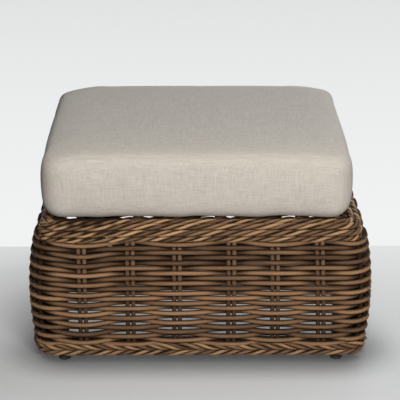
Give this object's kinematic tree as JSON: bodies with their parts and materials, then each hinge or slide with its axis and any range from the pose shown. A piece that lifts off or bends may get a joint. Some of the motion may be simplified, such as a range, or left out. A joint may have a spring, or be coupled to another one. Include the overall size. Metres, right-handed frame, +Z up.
{
  "type": "outdoor ottoman footstool",
  "caption": "Low woven-look patio footstool: barrel-sided wicker base on an aluminium frame with levelling feet and a loose padded seat cushion.",
  "frame": {"origin": "floor level under the middle of the woven base", "axes": "+Z up, +X along the long side to the right seen from the front, the front faces -Y"},
  "size_m": [0.796, 0.656, 0.507],
  "materials": {
    "wicker": "satin",
    "stake_wicker": "satin",
    "frame": "satin",
    "glide": "matte",
    "linen": "matte",
    "foam": "matte",
    "zip": "matte",
    "zip_metal": "satin"
  },
  "bodies": {
    "base": {"front_weave": "wicker", "right_weave": "wicker", "rear_weave": "wicker", "left_weave": "wicker", "front_stake_pair_1": "stake_wicker", "front_stake_pair_2": "stake_wicker", "front_stake_pair_3": "stake_wicker", "front_stake_pair_4": "stake_wicker", "front_stake_pair_5": "stake_wicker", "front_stake_pair_6": "stake_wicker", "right_stake_pair_1": "stake_wicker", "right_stake_pair_2": "stake_wicker", "right_stake_pair_3": "stake_wicker", "right_stake_pair_4": "stake_wicker", "right_stake_pair_5": "stake_wicker", "rear_stake_pair_1": "stake_wicker", "rear_stake_pair_2": "stake_wicker", "rear_stake_pair_3": "stake_wicker", "rear_stake_pair_4": "stake_wicker", "rear_stake_pair_5": "stake_wicker", "rear_stake_pair_6": "stake_wicker", "left_stake_pair_1": "stake_wicker", "left_stake_pair_2": "stake_wicker", "left_stake_pair_3": "stake_wicker", "left_stake_pair_4": "stake_wicker", "left_stake_pair_5": "stake_wicker", "front_left_corner_stake": "stake_wicker", "front_right_corner_stake": "stake_wicker", "rear_right_corner_stake": "stake_wicker", "rear_left_corner_stake": "stake_wicker", "top_border_lowest_course": "wicker", "top_border_second_course": "wicker", "top_border_third_course": "wicker", "top_border_highest_course": "wicker", "top_border_inner_course": "wicker", "bottom_border_upper_course": "wicker", "bottom_border_lower_course": "wicker", "top_rail": "frame", "bottom_rail": "frame", "front_left_leg": "frame", "front_right_leg": "frame", "rear_right_leg": "frame", "rear_left_leg": "frame", "deck_slat_1": "frame", "deck_slat_2": "frame", "deck_slat_3": "frame", "deck_slat_4": "frame", "deck_slat_5": "frame", "deck_slat_6": "frame"},
    "cushion": {"cushion_cover": "linen", "cushion_foam_core": "foam", "zip_tape": "zip"},
    "zip_slider": {"zip_slider": "zip_metal"},
    "front_left_glide": {"front_left_glide": "glide"},
    "front_right_glide": {"front_right_glide": "glide"},
    "rear_right_glide": {"rear_right_glide": "glide"},
    "rear_left_glide": {"rear_left_glide": "glide"}
  },
  "joints": [
    {"name": "cushion_lift", "type": "slide", "parent": "base", "child": "cushion", "axis": [0, 0, 1], "range_m": [0, 0.25]},
    {"name": "zip_slide", "type": "slide", "parent": "cushion", "child": "zip_slider", "axis": [-1, 0, 0], "range_m": [0, 0.392]},
    {"name": "front_left_glide_level", "type": "slide", "parent": "base", "child": "front_left_glide", "axis": [0, 0, -1], "range_m": [0, 0.01]},
    {"name": "front_right_glide_level", "type": "slide", "parent": "base", "child": "front_right_glide", "axis": [0, 0, -1], "range_m": [0, 0.01]},
    {"name": "rear_right_glide_level", "type": "slide", "parent": "base", "child": "rear_right_glide", "axis": [0, 0, -1], "range_m": [0, 0.01]},
    {"name": "rear_left_glide_level", "type": "slide", "parent": "base", "child": "rear_left_glide", "axis": [0, 0, -1], "range_m": [0, 0.01]}
  ]
}
